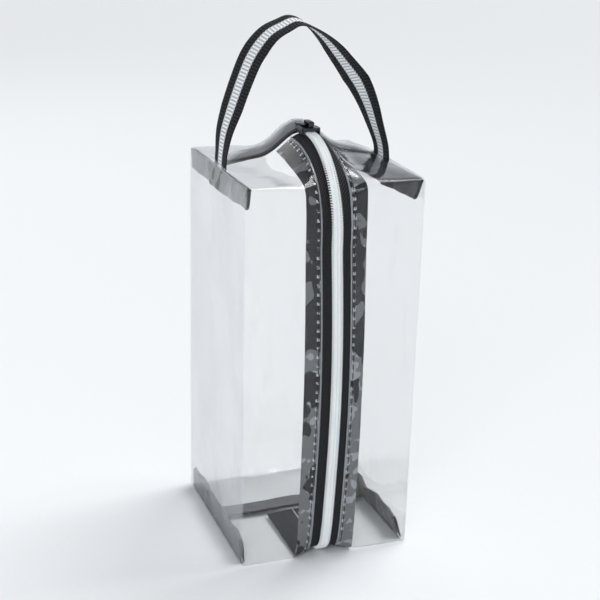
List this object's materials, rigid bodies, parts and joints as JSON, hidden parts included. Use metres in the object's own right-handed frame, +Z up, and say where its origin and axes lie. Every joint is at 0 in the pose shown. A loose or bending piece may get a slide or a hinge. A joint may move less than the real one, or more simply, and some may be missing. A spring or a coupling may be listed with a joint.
{
  "type": "makeup bag",
  "caption": "Tall box-shaped clear film pouch with black bound seams, a white coil zipper running up the front and over both ends, and a striped webbing loop handle.",
  "frame": {"origin": "on the floor under the middle of the bag", "axes": "+X to the right across the zipper face, +Y to the back, +Z up through the handle"},
  "size_m": [0.102, 0.1136, 0.302],
  "materials": {
    "clear_film": "gloss",
    "zip_tape": "matte",
    "zip_coil": "satin",
    "binding": "satin",
    "webbing": "matte",
    "thread": "satin",
    "slider_metal": "satin",
    "spring_steel": "satin"
  },
  "bodies": {
    "bag": {"body_sheet": "clear_film", "zip_tape_left": "zip_tape", "zip_tape_right": "zip_tape", "zip_coil_left": "zip_coil", "zip_coil_right": "zip_coil", "top_seam_binding": "binding", "bottom_seam_binding": "binding", "top_left_corner_binding": "binding", "top_right_corner_binding": "binding", "bottom_left_corner_binding": "binding", "bottom_right_corner_binding": "binding", "handle_end_left": "webbing", "handle_end_right": "webbing", "zip_stitches_left": "thread", "zip_stitches_right": "thread", "corner_stitches": "thread"},
    "slider": {"slider_body": "slider_metal", "slider_crown": "slider_metal", "lock_spring": "spring_steel"},
    "pull_tab": {"pull_tab": "slider_metal"},
    "handle": {"handle_webbing": "webbing"}
  },
  "joints": [
    {"name": "slider_travel", "type": "hinge", "parent": "bag", "child": "slider", "pos_m": [0, -0.008, 0.192], "axis": [1, 0, 0], "range_deg": [0, 90]},
    {"name": "pull_tab_hinge", "type": "hinge", "parent": "slider", "child": "pull_tab", "pos_m": [0, -0.008, 0.2453], "axis": [1, 0, 0], "range_deg": [0, 162]},
    {"name": "handle_swing", "type": "hinge", "parent": "bag", "child": "handle", "pos_m": [0, 0, 0.2365], "axis": [1, 0, 0], "range_deg": [-75, 75]}
  ]
}
